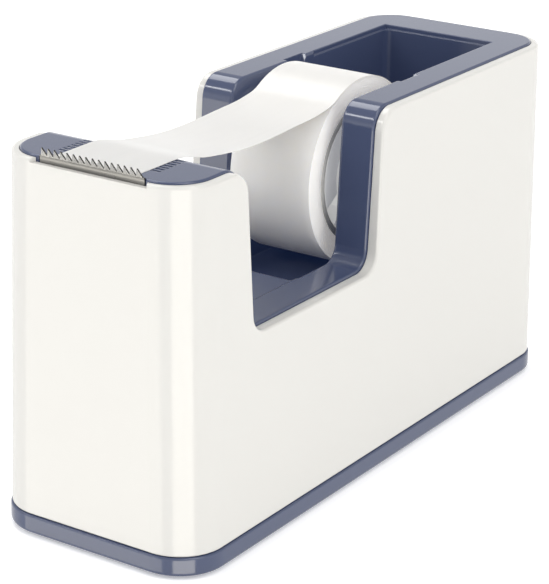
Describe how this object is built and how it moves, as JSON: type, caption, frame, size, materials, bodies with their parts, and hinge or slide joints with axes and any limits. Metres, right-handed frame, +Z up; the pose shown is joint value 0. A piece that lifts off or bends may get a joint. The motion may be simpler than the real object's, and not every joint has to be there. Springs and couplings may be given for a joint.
{
  "type": "tape dispenser",
  "caption": "Weighted desktop tape dispenser with a white shell, a blue-grey liner, a U-notch, an open rear pocket, a serrated steel cutter and a roll on a lift-out hub.",
  "frame": {"origin": "middle of the bounding box in plan, on the surface that the feet stand on", "axes": "+Z up, +Y from the cutter towards the rear pocket, +X to the right when seen from the cutter"},
  "size_m": [0.0486, 0.1386, 0.0786],
  "materials": {
    "white_plastic": "glossy moulded",
    "blue_grey_plastic": "glossy moulded",
    "blade_steel": "stamped, bright",
    "ballast_iron": "as cast",
    "screw_steel": "zinc plated",
    "foot_rubber": "matte",
    "axle_steel": "turned",
    "hub_plastic": "satin moulded",
    "core_card": "white paper board",
    "tape_film": "satin film, wound"
  },
  "bodies": {
    "housing": {"outer_shell": "white_plastic", "liner": "blue_grey_plastic", "tape_platform": "blue_grey_plastic", "base_plate": "blue_grey_plastic", "cutter_blade": "blade_steel", "ballast": "ballast_iron", "base_screws": "screw_steel", "ballast_screws": "screw_steel", "platform_screws": "screw_steel", "foot_front_left": "foot_rubber", "foot_front_right": "foot_rubber", "foot_rear_left": "foot_rubber", "foot_rear_right": "foot_rubber"},
    "axle": {"axle_pin": "axle_steel", "tape_leader": "tape_film"},
    "roll": {"tape_hub": "hub_plastic", "tape_core": "core_card", "tape_roll": "tape_film"}
  },
  "joints": [
    {"name": "roll_lift_out", "type": "slide", "parent": "housing", "child": "axle", "axis": [0, 0.5038, 0.8638], "range_m": [0, 0.045]},
    {"name": "roll_spin", "type": "hinge", "parent": "axle", "child": "roll", "pos_m": [0, 0.01014, 0.05855], "axis": [1, 0, 0], "continuous": true}
  ]
}
